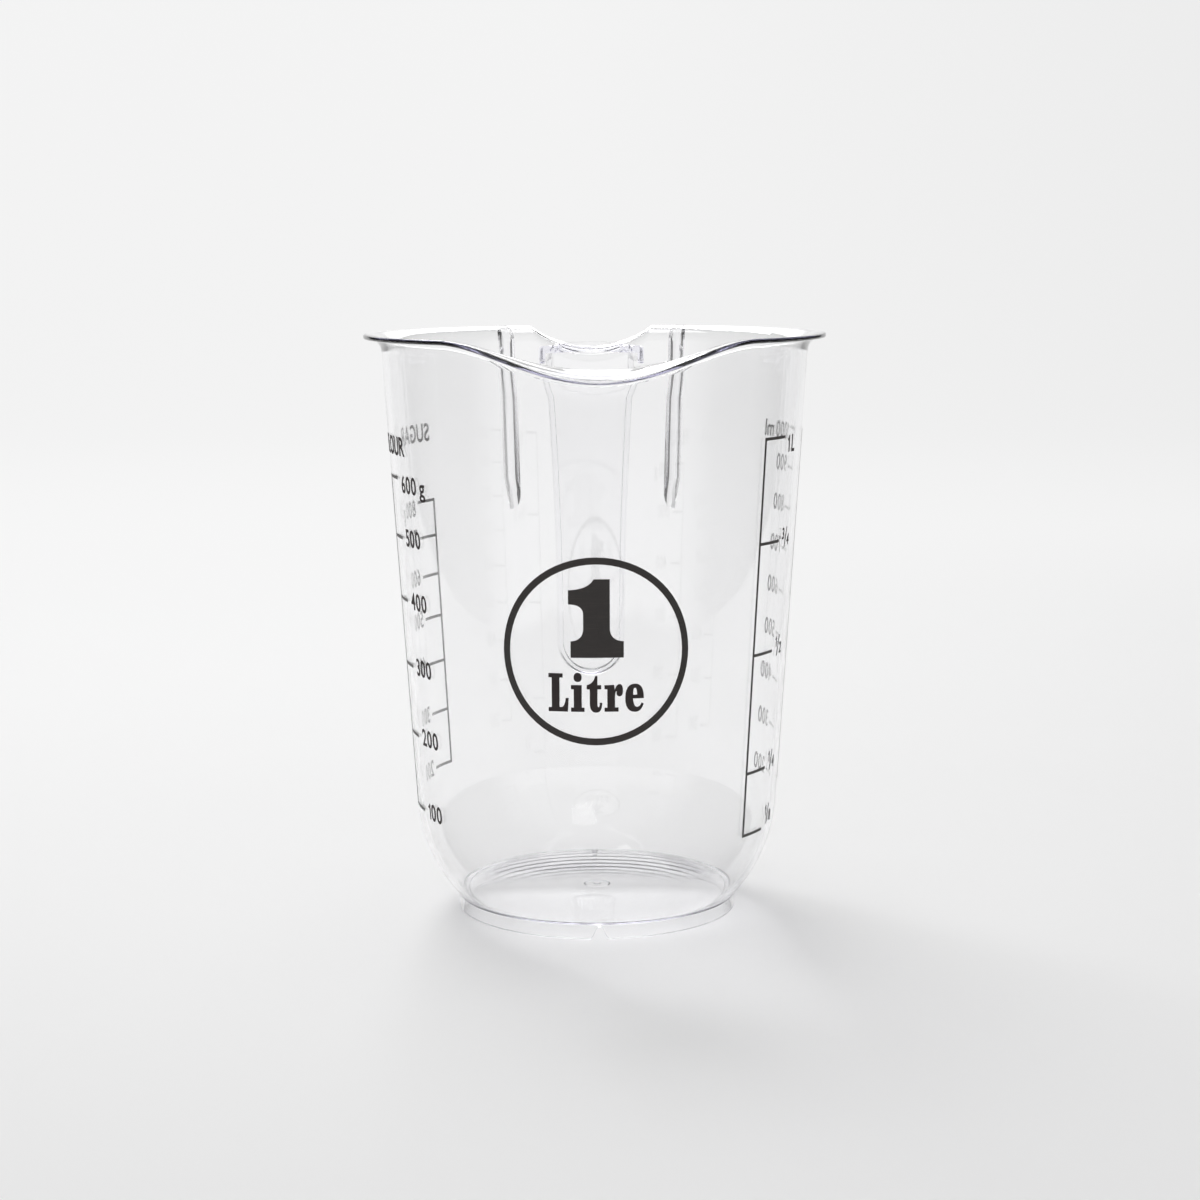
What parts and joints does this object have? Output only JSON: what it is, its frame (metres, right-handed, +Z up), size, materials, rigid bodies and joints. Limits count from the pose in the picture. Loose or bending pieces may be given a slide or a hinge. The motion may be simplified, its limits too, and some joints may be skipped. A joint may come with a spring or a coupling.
{
  "type": "measuring jug",
  "caption": "Clear plastic measuring jug with a tapered round body, foot ring, flared rim, pouring lip, hook handle and printed scales for liquids, flour and sugar.",
  "frame": {"origin": "on the surface the jug stands on, at the middle of its overall box from pouring lip to handle; the jug's own axis stands 12.35 mm in front of it, at y = -0.01235 m", "axes": "+Z up along the jug's axis, -Y towards the pouring lip, +Y towards the handle, +X to the right when the pouring lip faces the viewer"},
  "size_m": [0.1246, 0.1554, 0.158],
  "materials": {
    "clear_plastic": "clear polished moulding, faint violet tint where it is thick",
    "printed_ink": "near-black screen ink, slightly streaky"
  },
  "bodies": {
    "root": {"jug_moulding": "clear_plastic", "badge_ring": "printed_ink", "badge_numeral": "printed_ink", "litre_scale": "printed_ink", "millilitre_scale": "printed_ink", "flour_scale": "printed_ink", "sugar_scale": "printed_ink"}
  },
  "joints": []
}
